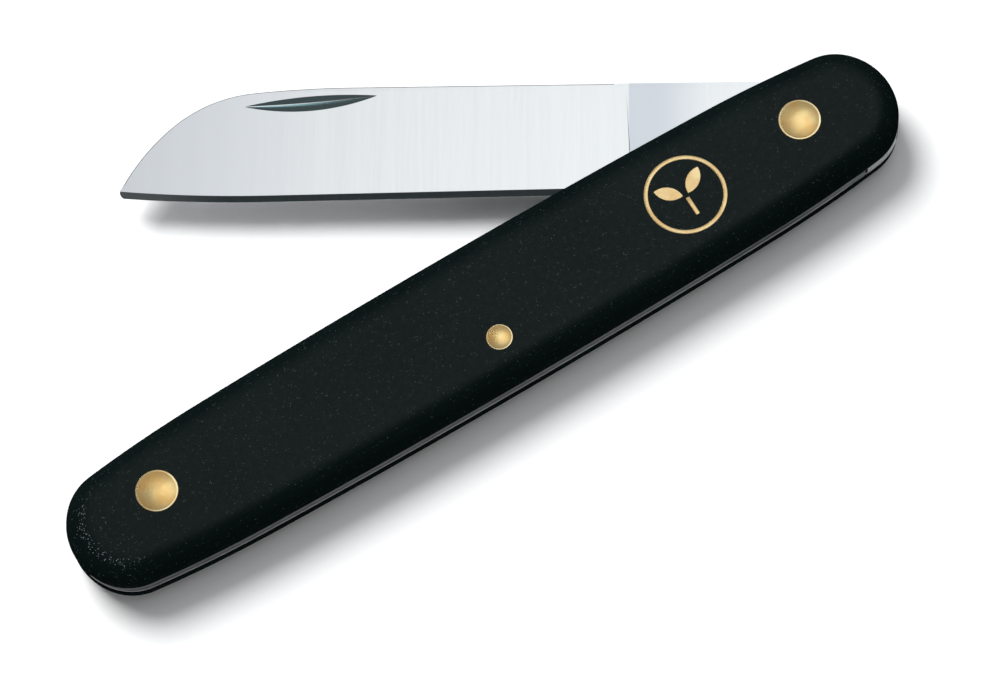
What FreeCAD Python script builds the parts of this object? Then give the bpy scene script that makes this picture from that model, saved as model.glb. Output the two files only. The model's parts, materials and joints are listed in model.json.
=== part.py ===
import FreeCAD, Part
import math
import os

# A folding grafting knife with one straight-edged blade, held by a slipjoint back spring.
# Frame: X along the handle towards the pivot end, Y towards the side the blade opens from,
# Z up, with the origin in the middle of the handle's flat rear face. Millimetres.
# The blade is drawn part-way open, which is its rest position.

V = FreeCAD.Vector
UP = V(0, 0, 1)

# ---------------------------------------------------------------- driving dimensions
HANDLE_LENGTH = 100.0
HANDLE_WIDTH = 16.12
SIDE_RADIUS = 1115.0        # nearly straight long side
SIDE_TURN = 1.6             # degrees that the side turns before it starts to taper
TAPER_RADIUS = 143.0
TAPER_TURN = 7.0            # heading at the end of the taper, degrees
CORNER_TURN = 45.0          # heading where the corner arc meets the nose arc, degrees

SCALE_THICKNESS = 3.15
SCALE_WALL = 0.75           # upright edge next to the metal
SHOULDER_WIDTH = 3.0        # elliptical rounding from that edge up to the flat face
LINER_THICKNESS = 0.25
LINER_INSET = 0.10          # how far the liners sit inside the edge of the scales
SPRING_THICKNESS = 1.3
SPRING_INSET = 0.20
METAL_SHIFT = 0.08          # the metal sits this much nearer the pivot end than the scales

BLADE_THICKNESS = 1.2
PIVOT = V(39.25, 0.72, 0)
SPRING_RIVET = V(-0.3, -3.42, 0)
TAIL_RIVET = V(-39.25, 0.88, 0)
BLADE_REST_ANGLE = 148.8    # direction of the blade at rest, degrees from +X

# Rivets: shank, domed head and seat washer, as (shank r, head r, washer r, crown height)
BIG_RIVET = (1.25, 2.06, 2.28, 0.46)
SMALL_RIVET = (0.9, 1.28, 1.43, 0.32)
WASHER_THICKNESS = 0.3
WASHER_PROUD = 0.04         # front washers stand this far above the scale
RUNNING_CLEARANCE = 0.04    # radial, blade on its pivot
SEAT_CLEARANCE = 0.02       # radial, shanks and washers in their holes

# Back spring: the free end is lifted a little by the rounded end of the tang
FREE_END_X = PIVOT.x + 3.75
SPRING_SEAT_GAP = 0.03      # between the spring and the tang
LIFT_START_X = 22.0
LIFTED_BACK = [(LIFT_START_X, -7.62), (FREE_END_X - 6, -7.15), (FREE_END_X, -6.86)]
BOSS_HALF_WIDTH = 2.2       # round the spring rivet
BOSS_HEIGHT = 1.8
TAIL_FACE_X = TAIL_RIVET.x + 3.0    # end of the solid tail block, where the blade's well starts

# Tab of the rear liner beyond the spring's end
TAB_GAP = 0.15
TAB_CLEARANCE = 0.14        # between the tab and the spine of the opened blade

# Blade, in its own axes: u from the pivot towards the point, v from the pivot towards the spine
SPINE_V = 5.83
SPINE_STRAIGHT_END = 48.1
ONSET_RADIUS = 110.7        # spine starts to drop
ONSET_TURN = 5.55           # degrees
NOSE_RADIUS = 15.4          # tightest part of the nose
NOSE_TURN = 36.9            # degrees
NOSE_END = (72.84, -5.46)   # the point is a small rounded corner from here ...
TIP_MIDDLE = (72.97, -6.1)
EDGE_TIP = (72.5, -6.54)    # ... to the start of the cutting edge
EDGE_BEND = (57.0, -7.1)    # edge straight from the heel to here, then curving up to the point
EDGE_HEEL = (19.6, -6.7)
TANG_FLAT = 5.0             # pivot to each flat that the spring rests on
TANG_CAM = 5.45             # radius of the rounded end between the flats
CLOSED_ANGLE = 173.0        # direction of the closed blade, degrees from +X
STOP_STEP_U = 3.98          # step in the spine that the spring end meets when open
PLUNGE_U = 18.55            # where the grind starts, at its top
PLUNGE_LEAN = 0.06          # how much nearer the pivot it starts per millimetre down the blade
PLUNGE_SLOPE = 3.0          # depth gained per millimetre of run
GRIND_TOP_V = 5.5
GRIND_EDGE_HALF = 0.28      # half thickness just above the cutting bevel
BEVEL_WIDTH = 0.65
EDGE_HALF = 0.03            # half thickness left at the cutting edge

# Nail nick on the front face: ends and depth of a V-shaped scoop
NICK_TIP_END = (59.9, 3.7)
NICK_TANG_END = (45.55, 4.8)
NICK_DEPTH = 0.45
NICK_UPPER = 0.52           # width of the nick either side of the bottom of its V
NICK_LOWER = 1.17

# Emblem: a plain ring round a two-leaf seedling, inlaid in the front scale
EMBLEM_CENTRE = V(24.55, -0.12, 0)
EMBLEM_RADIUS = 4.45
EMBLEM_LINE = 0.48
EMBLEM_DEPTH = 0.25
EMBLEM_PROUD = 0.02

# ---------------------------------------------------------------- derived heights
REAR_LINER_Z = SCALE_THICKNESS
SPRING_Z = REAR_LINER_Z + LINER_THICKNESS
FRONT_LINER_Z = SPRING_Z + SPRING_THICKNESS
FRONT_SCALE_Z = FRONT_LINER_Z + LINER_THICKNESS
FRONT_FACE_Z = FRONT_SCALE_Z + SCALE_THICKNESS
MID_Z = SPRING_Z + SPRING_THICKNESS / 2
BLADE_Z = MID_Z - BLADE_THICKNESS / 2

RIVETS = {
    "pivot": (PIVOT, BIG_RIVET),
    "spring": (SPRING_RIVET, SMALL_RIVET),
    "tail": (TAIL_RIVET, BIG_RIVET),
}


# ---------------------------------------------------------------- drawing helpers
def direction(degrees):
    return V(math.cos(math.radians(degrees)), math.sin(math.radians(degrees)), 0)


def arc_through(start, middle, end):
    return Part.Arc(start, middle, end).toShape()


def tangent_arc(start, heading, end):
    """Arc that leaves start along heading and ends at end."""
    chord = end - start
    normal = V(-heading.y, heading.x, 0)
    radius = chord.dot(chord) / (2 * chord.dot(normal))
    centre = start + normal * radius
    middle = (start + end) * 0.5 - centre
    return arc_through(start, centre + middle.normalize() * abs(radius), end)


def rounded_outline(corners):
    """Closed wire through (x, y, radius) corners, each rounded with its own radius."""
    points = [V(x, y, 0) for x, y, radius in corners]
    edges = []
    previous_end = None
    first_start = None
    for i, (x, y, radius) in enumerate(corners):
        here = points[i]
        to_last = (points[i - 1] - here).normalize()
        to_next = (points[(i + 1) % len(points)] - here).normalize()
        if radius > 0:
            half = to_last.getAngle(to_next) / 2
            start = here + to_last * (radius / math.tan(half))
            end = here + to_next * (radius / math.tan(half))
            inward = (to_last + to_next).normalize()
            middle = here + inward * (radius / math.sin(half) - radius)
        else:
            start = here
            end = here
        if previous_end is not None and (previous_end - start).Length > 1e-6:
            edges.append(Part.LineSegment(previous_end, start).toShape())
        if radius > 0:
            edges.append(arc_through(start, middle, end))
        if first_start is None:
            first_start = start
        previous_end = end
    edges.append(Part.LineSegment(previous_end, first_start).toShape())
    return Part.Wire(edges)


def plate(wire, z, thickness):
    """Flat solid of one outline."""
    face = Part.Face(wire)
    face.translate(V(0, 0, z))
    return face.extrude(V(0, 0, thickness))


def disc(centre, radius, z_low, z_high):
    return Part.makeCylinder(radius, z_high - z_low, V(centre.x, centre.y, z_low), UP)


def to_handle(shape):
    """Turn a shape drawn in the blade's axes into its place at rest on the pivot."""
    shape.rotate(V(0, 0, 0), V(1, 0, 0), 180)     # v runs to the other side of u
    shape.rotate(V(0, 0, 0), UP, BLADE_REST_ANGLE)
    shape.translate(V(PIVOT.x, PIVOT.y, MID_Z))
    return shape


# ---------------------------------------------------------------- handle outline
def quarter_arcs():
    """(radius, start heading, end heading) of the four tangent arcs of one quarter.

    The corner and nose radii follow from the arcs before them and the handle's length."""
    a1 = math.radians(SIDE_TURN)
    a2 = math.radians(TAPER_TURN)
    a3 = math.radians(CORNER_TURN)
    x = SIDE_RADIUS * math.sin(a1) + TAPER_RADIUS * (math.sin(a2) - math.sin(a1))
    y = HANDLE_WIDTH / 2 - SIDE_RADIUS * (1 - math.cos(a1)) - TAPER_RADIUS * (math.cos(a1) - math.cos(a2))
    left_x = HANDLE_LENGTH / 2 - x
    corner_x, corner_y = math.sin(a3) - math.sin(a2), math.cos(a2) - math.cos(a3)
    nose_x, nose_y = 1 - math.sin(a3), math.cos(a3)
    scale = corner_x * nose_y - nose_x * corner_y
    corner_radius = (left_x * nose_y - nose_x * y) / scale
    nose_radius = (corner_x * y - left_x * corner_y) / scale
    return [
        (SIDE_RADIUS, 0, SIDE_TURN),
        (TAPER_RADIUS, SIDE_TURN, TAPER_TURN),
        (corner_radius, TAPER_TURN, CORNER_TURN),
        (nose_radius, CORNER_TURN, 90),
    ]


def outline_arcs():
    """Every arc of the closed handle outline, clockwise, as (centre, radius, start and end normals)."""
    arcs = []
    start = V(0, HANDLE_WIDTH / 2, 0)
    quarter = [(radius, 90 - a, 90 - b) for radius, a, b in quarter_arcs()]
    half = quarter + [(radius, -b, -a) for radius, a, b in reversed(quarter)]
    whole = half + [(radius, a - 180, b - 180) for radius, a, b in half]
    for radius, a, b in whole:
        centre = start - direction(a) * radius
        arcs.append((centre, radius, a, b))
        start = centre + direction(b) * radius
    return arcs


def outline_wire(inset, shift=0.0):
    edges = []
    for centre, radius, a, b in outline_arcs():
        middle = centre + V(shift, 0, 0)
        points = [middle + direction(angle) * (radius - inset) for angle in (a, (a + b) / 2, b)]
        edges.append(arc_through(*points))
    return Part.Wire(Part.__sortEdges__(edges))


def scale_blank():
    """A scale with its flat inner side at Z = 0 and its rounded outer side up."""
    rise = SCALE_THICKNESS - SCALE_WALL
    faces = []
    for centre, radius, a, b in outline_arcs():
        foot = centre + direction(a) * radius
        edge_top = foot + UP * SCALE_WALL
        ellipse_centre = edge_top - direction(a) * SHOULDER_WIDTH
        wall = Part.LineSegment(foot, edge_top).toShape()
        curve = Part.Ellipse(edge_top, ellipse_centre + UP * rise, ellipse_centre)
        shoulder = Part.ArcOfEllipse(curve, 0, math.pi / 2).toShape()
        for profile in (wall, shoulder):
            faces.append(profile.revolve(centre, V(0, 0, -1), a - b))
    rim = outline_wire(SHOULDER_WIDTH)
    rim.translate(V(0, 0, SCALE_THICKNESS))
    faces.append(Part.Face(rim))
    faces.append(Part.Face(outline_wire(0)))
    shell = Part.Shell(faces)
    shell.sewShape()
    solid = Part.Solid(shell)
    solid.fix(1e-4, 1e-4, 1e-4)
    return solid


# ---------------------------------------------------------------- emblem
def leaf(base, length, width, lean):
    """Almond-shaped leaf blade from base, leaning from +X by lean degrees."""
    along = direction(lean)
    across = direction(lean + 90)
    tip = base + along * length
    middle = base + along * (length * 0.52)
    upper = arc_through(base, middle + across * (width / 2), tip)
    lower = arc_through(tip, middle - across * (width / 2), base)
    return Part.Wire([upper, lower])


def emblem_shapes(z, thickness):
    """The emblem's separate pieces: ring, stem and two leaves."""
    centre = EMBLEM_CENTRE
    ring = disc(centre, EMBLEM_RADIUS, z, z + thickness)
    ring = ring.cut(disc(centre, EMBLEM_RADIUS - EMBLEM_LINE, z, z + thickness))
    stem_half = EMBLEM_LINE * 0.5
    fork = centre + V(0, 0.1, 0)
    stem = rounded_outline([
        (fork.x - stem_half, fork.y - 2.7, 0.15),
        (fork.x + stem_half, fork.y - 2.7, 0.15),
        (fork.x + stem_half, fork.y - 0.45, 0.12),
        (fork.x - stem_half, fork.y - 0.45, 0.12),
    ])
    leaves = [
        leaf(fork + V(0.3, -0.12, 0), 3.2, 1.5, 40),
        leaf(fork + V(-0.3, -0.12, 0), 3.2, 1.5, 140),
    ]
    return [ring] + [plate(wire, z, thickness) for wire in [stem] + leaves]


# ---------------------------------------------------------------- rivets and washers
def washer_levels(front, crown):
    """Inner and outer height of a washer.

    Rear washers lie deeper, so that the crown of the rear head is level with the rear face."""
    if front:
        outer = FRONT_FACE_Z + WASHER_PROUD
        return outer - WASHER_THICKNESS, outer
    return crown + WASHER_THICKNESS, crown


def dome(centre, radius, crown, z, upwards):
    """Spherical cap on the plane z, with a short upright rim."""
    rim = crown * 0.3
    rise = crown - rim
    ball = (radius ** 2 + rise ** 2) / (2 * rise)
    side = 1 if upwards else -1
    base = V(0, 0, 0)
    rim_bottom = V(radius, 0, 0)
    rim_top = V(radius, 0, side * rim)
    top = V(0, 0, side * crown)
    half_angle = math.asin(radius / ball) / 2
    sphere_z = side * (crown - ball)
    middle = V(ball * math.sin(half_angle), 0, sphere_z + side * ball * math.cos(half_angle))
    profile = Part.Wire([
        Part.LineSegment(base, rim_bottom).toShape(),
        Part.LineSegment(rim_bottom, rim_top).toShape(),
        arc_through(rim_top, middle, top),
        Part.LineSegment(top, base).toShape(),
    ])
    cap = Part.Face(profile).revolve(V(0, 0, 0), UP, 360)
    cap.translate(V(centre.x, centre.y, z))
    return cap


def rivet(centre, sizes):
    """One solid: shank, front head on its washer and rear head sunk in the rear scale."""
    shank_r, head_r, washer_r, crown = sizes
    front_z = washer_levels(True, crown)[1]
    rear_z = washer_levels(False, crown)[1]
    shank = disc(centre, shank_r, rear_z, front_z)
    front = dome(centre, head_r, crown, front_z, True)
    rear = dome(centre, head_r, crown, rear_z, False)
    return shank.fuse([front, rear]).removeSplitter()


def washer(centre, sizes, front):
    shank_r, head_r, washer_r, crown = sizes
    low, high = sorted(washer_levels(front, crown))
    ring = disc(centre, washer_r, low, high)
    return ring.cut(disc(centre, shank_r + SEAT_CLEARANCE, low, high))


def drill(shape, names, z_low, z_high):
    """Shank holes for the named rivets."""
    holes = []
    for name in names:
        centre, sizes = RIVETS[name]
        holes.append(disc(centre, sizes[0] + SEAT_CLEARANCE, z_low, z_high))
    return shape.cut(holes)


# ---------------------------------------------------------------- scales and liners
def front_scale():
    scale = scale_blank()
    scale.translate(V(0, 0, FRONT_SCALE_Z))
    above = FRONT_FACE_Z + 1
    scale = drill(scale, RIVETS, FRONT_SCALE_Z - 1, above)
    seats = []
    for centre, sizes in RIVETS.values():
        seat_z = washer_levels(True, sizes[3])[0]
        seats.append(disc(centre, sizes[2] + SEAT_CLEARANCE, seat_z, above))
    pocket = emblem_shapes(FRONT_FACE_Z - EMBLEM_DEPTH, EMBLEM_DEPTH + 1)
    return scale.cut(seats + pocket)


def rear_scale():
    scale = scale_blank()
    scale.rotate(V(0, 0, 0), V(1, 0, 0), 180)
    scale.translate(V(0, 0, SCALE_THICKNESS))
    scale = drill(scale, RIVETS, -1, SCALE_THICKNESS + 1)
    seats = []
    for centre, sizes in RIVETS.values():
        seat_z = washer_levels(False, sizes[3])[0]
        seats.append(disc(centre, sizes[2] + SEAT_CLEARANCE, -1, seat_z))
    return scale.cut(seats)


def liner(z):
    sheet = plate(outline_wire(LINER_INSET, METAL_SHIFT), z, LINER_THICKNESS)
    return drill(sheet, RIVETS, z - 1, z + 2)


def rear_liner():
    """Liner with an upturned tab past the spring's end, which backs the opened blade's spine."""
    corner = V(FREE_END_X + TAB_GAP, PIVOT.y - SPINE_V - TAB_CLEARANCE, 0)
    tab = plate(outline_wire(0, METAL_SHIFT), SPRING_Z, SPRING_THICKNESS)
    keep = Part.makeBox(20, 20, 5, V(corner.x, corner.y - 20, SPRING_Z - 1))
    return liner(REAR_LINER_Z).fuse(tab.common(keep)).removeSplitter()


# ---------------------------------------------------------------- back spring
def back_spring():
    """Flat spring along the -Y side, lifted by the rounded end of the tang.

    It is drawn as the plate inside the handle outline, less the blade's well, plus the
    lifted free end."""
    seat = PIVOT.y - TANG_CAM - SPRING_SEAT_GAP      # face that meets the tang
    rivet = SPRING_RIVET
    well = rounded_outline([
        (60, seat, 0),
        (PIVOT.x - 2.8, seat, 3.0),
        (PIVOT.x - 6.5, seat - 0.42, 8.0),
        (rivet.x + 5.2, rivet.y - 2.05, 2.4),
        (rivet.x + BOSS_HALF_WIDTH, rivet.y + BOSS_HEIGHT, 1.4),
        (rivet.x - BOSS_HALF_WIDTH, rivet.y + BOSS_HEIGHT, 1.4),
        (rivet.x - 5.0, rivet.y - 0.3, 2.4),
        (TAIL_FACE_X, rivet.y + 0.2, 4.0),
        (TAIL_FACE_X, 20, 0),
        (60, 20, 0),
    ])
    (start_x, start_y), (bend_x, bend_y), (end_x, end_y) = LIFTED_BACK
    lifted = rounded_outline([
        (end_x, seat, 0.25),
        (bend_x, seat, 0),
        (start_x, seat - 0.55, 0),
        (start_x, start_y, 0),
        (bend_x, bend_y, 30),
        (end_x, end_y, 0.5),
    ])
    low, deep = SPRING_Z - 1, SPRING_THICKNESS + 2
    spring = plate(outline_wire(SPRING_INSET, METAL_SHIFT), SPRING_Z, SPRING_THICKNESS)
    spring = spring.cut(plate(well, low, deep))
    spring = spring.cut(Part.makeBox(30, 60, deep, V(FREE_END_X - 4, -30, low)))
    spring = spring.fuse(plate(lifted, SPRING_Z, SPRING_THICKNESS)).removeSplitter()
    return drill(spring, ("spring", "tail"), low, low + deep)


# ---------------------------------------------------------------- blade
def cutting_edge():
    """Curved part from the point to the bend, then the straight part to the heel."""
    bend = V(*EDGE_BEND, 0)
    heel = V(*EDGE_HEEL, 0)
    curved = tangent_arc(bend, (bend - heel).normalize(), V(*EDGE_TIP, 0))
    return curved, Part.LineSegment(bend, heel).toShape()


def blade_outline():
    """Blade and tang outline in blade axes, starting at the stop step and going clockwise."""
    onset_start = V(SPINE_STRAIGHT_END, SPINE_V, 0)
    onset = math.radians(ONSET_TURN)
    onset_mid = onset_start + V(math.sin(onset / 2), math.cos(onset / 2) - 1, 0) * ONSET_RADIUS
    onset_end = onset_start + V(math.sin(onset), math.cos(onset) - 1, 0) * ONSET_RADIUS
    nose_centre = onset_end - direction(90 - ONSET_TURN) * NOSE_RADIUS
    nose_mid = nose_centre + direction(90 - ONSET_TURN - NOSE_TURN / 2) * NOSE_RADIUS
    nose_turned = nose_centre + direction(90 - ONSET_TURN - NOSE_TURN) * NOSE_RADIUS
    nose_end = V(*NOSE_END, 0)
    edge_tip = V(*EDGE_TIP, 0)
    heel = V(*EDGE_HEEL, 0)

    flat_half = math.sqrt(TANG_CAM ** 2 - TANG_FLAT ** 2)
    closed_normal = 90 + CLOSED_ANGLE                # of the flat used when closed
    half_turn = math.degrees(math.acos(TANG_FLAT / TANG_CAM))
    cam_start = V(-flat_half, TANG_FLAT, 0)
    cam_end = direction(closed_normal - half_turn) * TANG_CAM
    cam_middle = direction((90 + half_turn + closed_normal - half_turn) / 2) * TANG_CAM
    flat_end = direction(closed_normal) * TANG_FLAT + direction(closed_normal + 90) * 3.4
    step_top = V(STOP_STEP_U + 0.55, SPINE_V, 0)
    step_mid = V(STOP_STEP_U + 0.16, SPINE_V - 0.16, 0)
    step_side = V(STOP_STEP_U, SPINE_V - 0.5, 0)
    step_foot = V(STOP_STEP_U, TANG_FLAT, 0)
    belly = V(9.0, -5.75, 0)
    choil_back = V(heel.x - 1.7, heel.y + 0.12, 0)
    choil_top = V(heel.x - 0.85, heel.y + 0.95, 0)
    line = Part.LineSegment
    edges = [
        arc_through(step_side, step_mid, step_top),
        line(step_top, onset_start).toShape(),
        arc_through(onset_start, onset_mid, onset_end),
        arc_through(onset_end, nose_mid, nose_turned),
        tangent_arc(nose_turned, direction(-ONSET_TURN - NOSE_TURN), nose_end),
        arc_through(nose_end, V(*TIP_MIDDLE, 0), edge_tip),
        *cutting_edge(),
        arc_through(heel, choil_top, choil_back),
        line(choil_back, belly).toShape(),
        line(belly, flat_end).toShape(),
        line(flat_end, cam_end).toShape(),
        arc_through(cam_end, cam_middle, cam_start),
        line(cam_start, step_foot).toShape(),
        line(step_foot, step_side).toShape(),
    ]
    return Part.Wire(edges)


def grind_tool():
    """What the flat grind takes off the +z side, in blade axes about the blade's mid-plane."""
    half = BLADE_THICKNESS / 2
    edge_v = EDGE_TIP[1]
    slope = (half - GRIND_EDGE_HALF) / (GRIND_TOP_V - edge_v)
    low_v = edge_v - 2.0
    start = PLUNGE_U - 2.0
    section = Part.makePolygon([
        V(start, GRIND_TOP_V, half),
        V(start, low_v, half - slope * (GRIND_TOP_V - low_v)),
        V(start, low_v, half),
        V(start, GRIND_TOP_V, half),
    ])
    wedge = Part.Face(section).extrude(V(80, 0, 0))
    run = 1.5
    ramp_side = Part.makePolygon([
        V(-1, 0, half + PLUNGE_SLOPE),
        V(run, 0, half - run * PLUNGE_SLOPE),
        V(-6, 0, half - run * PLUNGE_SLOPE),
        V(-6, 0, half + PLUNGE_SLOPE),
        V(-1, 0, half + PLUNGE_SLOPE),
    ])
    ramp = Part.Face(ramp_side).extrude(V(PLUNGE_LEAN, 1, 0) * 20)
    ramp.translate(V(PLUNGE_U, GRIND_TOP_V, 0) - V(PLUNGE_LEAN, 1, 0) * 15)
    return wedge.cut(ramp)


def bevel_tools():
    """What sharpening takes off the +z side: a cone about the curved edge, a wedge along the rest."""
    tip, bend, heel = V(*EDGE_TIP, 0), V(*EDGE_BEND, 0), V(*EDGE_HEEL, 0)
    circle = cutting_edge()[0].Curve
    slope = (GRIND_EDGE_HALF - EDGE_HALF) / BEVEL_WIDTH
    outward = (bend - circle.Center).normalize()
    section = [(1.0, EDGE_HALF - slope), (-2.0, EDGE_HALF + 2 * slope), (-2.0, 3), (1.0, 3)]
    points = [bend + outward * r + UP * z for r, z in section]
    profile = Part.Face(Part.makePolygon(points + points[:1]))
    reach = math.degrees((tip - bend).Length / circle.Radius) + 0.4
    back = V(heel - bend).normalize()
    overlap = 0.05
    wedge = profile.extrude(back * ((heel - bend).Length + 2 * overlap))
    wedge.translate(back * -overlap)
    return profile.revolve(circle.Center, UP, reach), wedge


def nick_tool():
    """Disc cutter with a V-shaped rim, sunk into the face to leave the nail nick."""
    tip_end = V(*NICK_TIP_END, 0)
    tang_end = V(*NICK_TANG_END, 0)
    half_length = (tip_end - tang_end).Length / 2
    radius = half_length ** 2 / (2 * NICK_DEPTH)
    axis = V(-(tip_end - tang_end).y, (tip_end - tang_end).x, 0).normalize()
    middle = (tip_end + tang_end) * 0.5
    face_half = BLADE_THICKNESS / 2 - 0.03
    centre = middle + UP * (face_half - NICK_DEPTH + radius)
    hub = radius - 3.0
    deeper = 3.0 / NICK_DEPTH
    rim = centre - UP * radius
    inner = centre - UP * hub
    points = [rim, inner + axis * NICK_UPPER * deeper, inner - axis * NICK_LOWER * deeper, rim]
    profile = Part.Face(Part.makePolygon(points))
    wheel = profile.revolve(centre, axis, 30)
    other = profile.revolve(centre, axis, -30)
    return wheel.fuse(other)


def blade():
    blank = plate(blade_outline(), -BLADE_THICKNESS / 2, BLADE_THICKNESS)
    tools = [grind_tool(), *bevel_tools()]
    tools += [tool.mirror(V(0, 0, 0), UP) for tool in tools]
    tools.append(nick_tool().mirror(V(0, 0, 0), UP))     # the front face is at -z here
    shape = blank
    for tool in tools:
        shape = shape.cut(tool)
    shank_r = RIVETS["pivot"][1][0]
    hole = disc(V(0, 0, 0), shank_r + RUNNING_CLEARANCE, -2, 2)
    return to_handle(shape.cut(hole))


# ---------------------------------------------------------------- build
def build():
    nodes = {
        "front_scale": front_scale(),
        "rear_scale": rear_scale(),
        "front_liner": liner(FRONT_LINER_Z),
        "rear_liner": rear_liner(),
        "back_spring": back_spring(),
        "blade": blade(),
    }
    for name, (centre, sizes) in RIVETS.items():
        nodes[name + "_rivet"] = rivet(centre, sizes)
        nodes["front_" + name + "_washer"] = washer(centre, sizes, True)
        nodes["rear_" + name + "_washer"] = washer(centre, sizes, False)
    emblem_z = FRONT_FACE_Z - EMBLEM_DEPTH
    nodes["emblem"] = Part.makeCompound(emblem_shapes(emblem_z, EMBLEM_DEPTH + EMBLEM_PROUD))
    return nodes


os.makedirs("parts", exist_ok=True)
for name, shape in build().items():
    if not shape.isValid():
        print(name, "is not valid")
    print(name, len(shape.Solids), "solids", round(shape.Volume, 2), "mm3")
    shape.exportStep("parts/" + name + ".step")
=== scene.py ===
import json
import math

import bmesh
import bpy
from mathutils import Matrix, Vector, noise


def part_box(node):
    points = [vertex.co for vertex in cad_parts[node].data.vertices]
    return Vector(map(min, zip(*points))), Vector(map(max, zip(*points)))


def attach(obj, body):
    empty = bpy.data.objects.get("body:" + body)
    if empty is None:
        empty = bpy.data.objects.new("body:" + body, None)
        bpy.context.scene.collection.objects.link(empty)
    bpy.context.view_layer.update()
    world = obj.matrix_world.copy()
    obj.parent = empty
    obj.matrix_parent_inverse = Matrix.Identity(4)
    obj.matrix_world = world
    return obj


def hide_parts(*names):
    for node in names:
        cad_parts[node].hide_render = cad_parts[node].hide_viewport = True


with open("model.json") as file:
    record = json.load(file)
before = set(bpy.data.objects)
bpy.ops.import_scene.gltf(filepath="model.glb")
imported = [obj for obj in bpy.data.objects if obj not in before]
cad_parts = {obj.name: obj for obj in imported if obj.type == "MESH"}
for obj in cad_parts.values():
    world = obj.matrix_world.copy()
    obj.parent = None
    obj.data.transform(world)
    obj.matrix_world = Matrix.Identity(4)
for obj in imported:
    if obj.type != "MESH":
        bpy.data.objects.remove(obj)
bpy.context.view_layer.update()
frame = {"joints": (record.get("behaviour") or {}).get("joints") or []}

# A folding grafting knife lying on a pale floor. Shapes are worked out in millimetres in the
# frame's own axes and turned into metres when a mesh is made.
MM = 0.001

# ---------------------------------------------------------------- places taken from the frame
PIVOT = Vector(frame["joints"][0]["pos_m"]) / MM


def node_box(node):
    low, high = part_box(node)
    return low / MM, high / MM


def node_centre(node):
    low, high = node_box(node)
    return (low + high) / 2


SCALE_LOW, SCALE_HIGH = node_box("front_scale")
REAR_LOW, REAR_HIGH = node_box("rear_scale")
SPRING_LOW, SPRING_HIGH = node_box("back_spring")
FRONT_LINER_LOW, FRONT_LINER_HIGH = node_box("front_liner")
REAR_LINER_LOW = node_box("rear_liner")[0]
EMBLEM_LOW, EMBLEM_HIGH = node_box("emblem")
RIVET_NAMES = ("pivot", "spring", "tail")

# ---------------------------------------------------------------- sizes, millimetres
HANDLE_LENGTH = SCALE_HIGH.x - SCALE_LOW.x
HANDLE_WIDTH = SCALE_HIGH.y - SCALE_LOW.y
SIDE_RADIUS, SIDE_TURN = 1115.0, 1.6
TAPER_RADIUS, TAPER_TURN = 143.0, 7.0
CORNER_TURN = 45.0
OUTLINE_STEP = 0.45         # spacing of points along the outlines
WELD = 0.001                # points closer than this are merged after a cut

SCALE_WALL = 0.75
SHOULDER_WIDTH = 3.0
SHOULDER_STEPS = 16
LINER_INSET = 0.10
SPRING_INSET = 0.20
METAL_SHIFT = 0.08          # the metal sits this much nearer the pivot end than the scales
LINER_EDGE = 0.05           # edge rounding of sheet and spring
SPRING_EDGE = 0.08
SPRING_TAIL_X = -49.0       # the spring's outline turns round the tail beyond this
SPRING_TAIL_REACH = 3.0     # solid tail block, from the tail rivet
EDGE_EASE = 0.13            # size of the eased edges of the blade

BLADE_REST_ANGLE = 148.8    # degrees from +X
BLADE_THICKNESS = 1.2
SPINE_V = 5.83
SPINE_STRAIGHT_END = 48.1
ONSET_RADIUS, ONSET_TURN = 110.7, 5.55
NOSE_RADIUS, NOSE_TURN = 15.4, 36.9
NOSE_END = (72.84, -5.46)   # the point is a small rounded corner
TIP_MIDDLE = (72.97, -6.1)
EDGE_TIP = (72.5, -6.54)
EDGE_BEND = (57.0, -7.1)    # edge straight from the heel to here, then curving up
EDGE_HEEL = (19.6, -6.7)
TANG_FLAT, TANG_CAM = 5.0, 5.45
TANG_FLAT_REACH = 3.4       # how far the closed flat runs towards the edge side
TANG_BELLY = (9.0, -5.75)
CLOSED_ANGLE = 173.0
STOP_STEP_U = 3.98
PLUNGE_U = 18.55
PLUNGE_LEAN = 0.06
PLUNGE_SLOPE = 3.0
GRIND_TOP_V = 5.5
GRIND_EDGE_HALF = 0.28
BEVEL_WIDTH = 0.65
EDGE_HALF = 0.03
NICK_TIP_END = (59.9, 3.7)
NICK_TANG_END = (45.55, 4.8)
NICK_DEPTH = 0.45
NICK_UPPER = 0.52           # width of the nick either side of the bottom of its V
NICK_LOWER = 1.17
NICK_FLAT = 0.03            # half width of its polished bottom
NICK_FACE_DROP = 0.03       # what the grind has taken off the face there
NICK_RIM = 3.0              # how much of the cutting wheel's rim is modelled
NICK_SWEEP, NICK_STEPS = 12, 96     # degrees to each side, and steps in all

# How level a face of the blade has to lie, as the height of its normal
GROUND_TILT = 0.985
BEVEL_TILT = 0.7
WALL_TILT = 0.1

# Free end of the back spring, and the tab of the rear liner beyond it
FREE_END_X = PIVOT.x + 3.75
SPRING_SEAT_GAP = 0.03
LIFT_START_X = 22.0
LIFTED_BACK = [(LIFT_START_X, -7.62), (FREE_END_X - 6, -7.15), (FREE_END_X, -6.86)]
BOSS_HALF_WIDTH, BOSS_HEIGHT = 2.2, 1.8
TAB_GAP = 0.15
TAB_CLEARANCE = 0.14

SHANK_RADIUS = {"pivot": 1.25, "spring": 0.9, "tail": 1.25}
PIVOT_CLEARANCE = 0.04
SEAT_GAP = 0.02
EMBLEM_RADIUS = 4.45
EMBLEM_LINE = 0.48
EMBLEM_SEGMENTS = 144
LEAF_LENGTH, LEAF_WIDTH = 3.2, 1.5


# ---------------------------------------------------------------- outline helpers
def direction(degrees):
    return Vector((math.cos(math.radians(degrees)), math.sin(math.radians(degrees))))


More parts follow.
